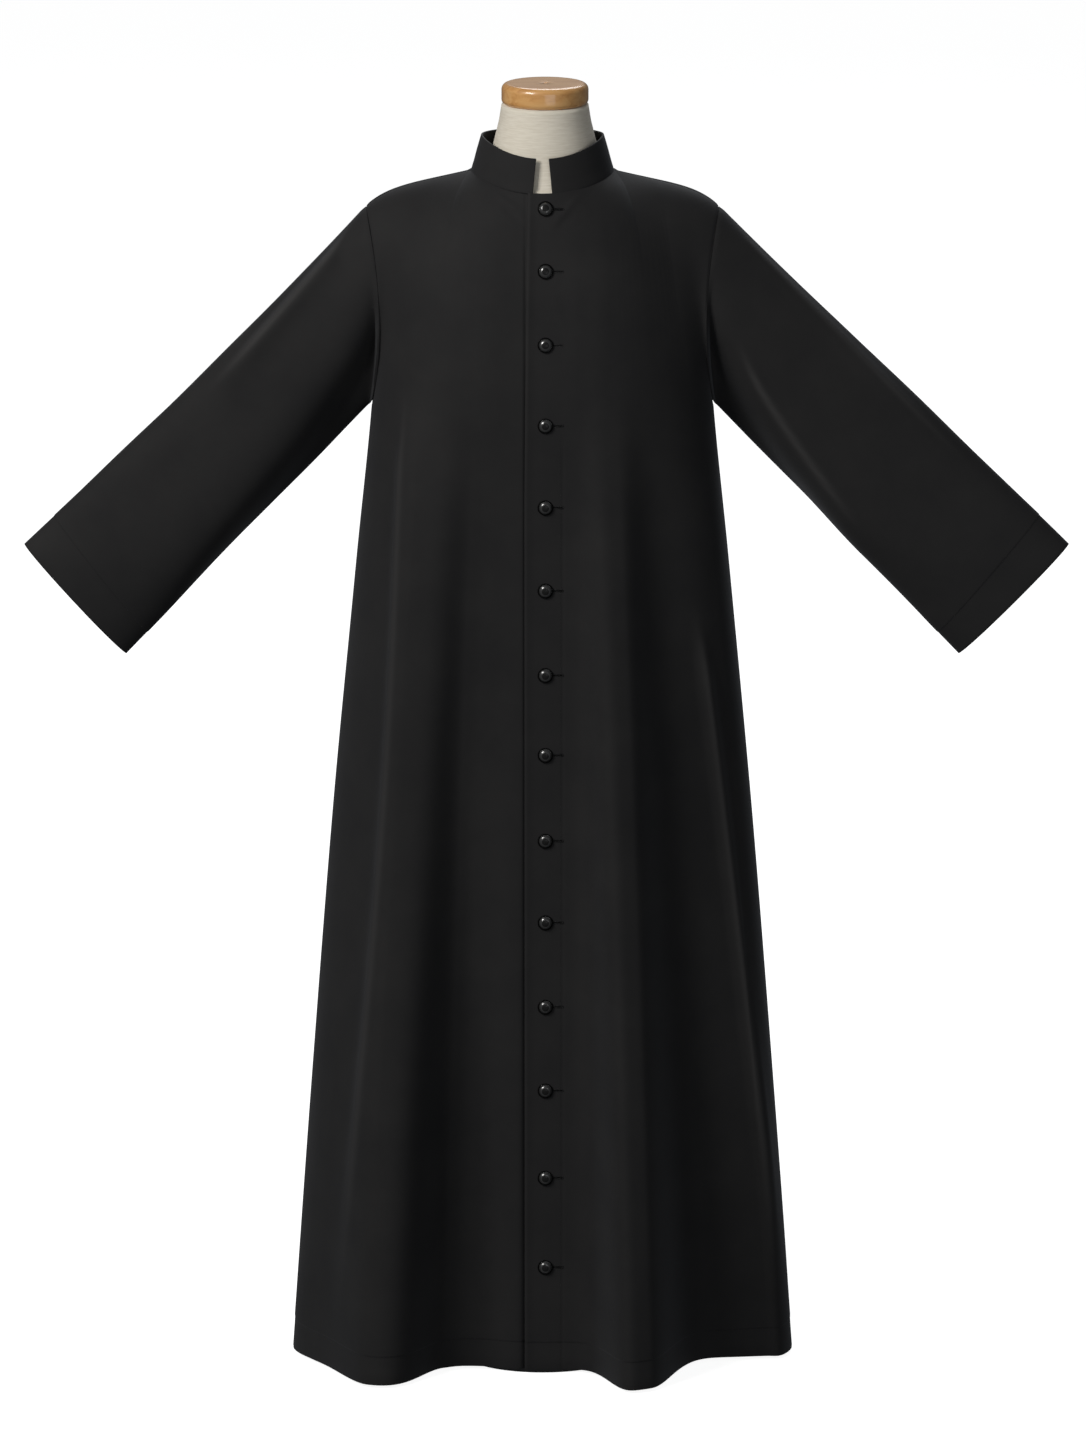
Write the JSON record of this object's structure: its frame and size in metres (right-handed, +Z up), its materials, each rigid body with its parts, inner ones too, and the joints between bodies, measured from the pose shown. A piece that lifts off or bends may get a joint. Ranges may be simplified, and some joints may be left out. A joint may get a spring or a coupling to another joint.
{
  "type": "cassock on a dress form",
  "caption": "Long black cassock with a standing collar, front buttons and straight sleeves, worn by a limbless dress form on a stand.",
  "frame": {"origin": "on the floor, at the middle of the stand's base", "axes": "+Z up; +X towards the wearer's left side, which is the right side of the picture; -Y towards the buttoned front"},
  "size_m": [1.2703, 0.4121, 1.5838],
  "materials": {
    "black_cloth": "matte black wool-like suiting",
    "black_gloss": "polished black",
    "linen": "natural cream linen",
    "varnished_wood": "honey varnish",
    "painted_steel": "black satin paint"
  },
  "bodies": {
    "root": {"front_left": "black_cloth", "front_right": "black_cloth", "back": "black_cloth", "sleeve_left": "black_cloth", "sleeve_right": "black_cloth", "collar": "black_cloth", "button_01": "black_gloss", "button_02": "black_gloss", "button_03": "black_gloss", "button_04": "black_gloss", "button_05": "black_gloss", "button_06": "black_gloss", "button_07": "black_gloss", "button_08": "black_gloss", "button_09": "black_gloss", "button_10": "black_gloss", "button_11": "black_gloss", "button_12": "black_gloss", "button_13": "black_gloss", "button_14": "black_gloss", "form_torso": "linen", "form_cap": "varnished_wood", "stand_pole": "painted_steel", "stand_base": "painted_steel"}
  },
  "joints": []
}
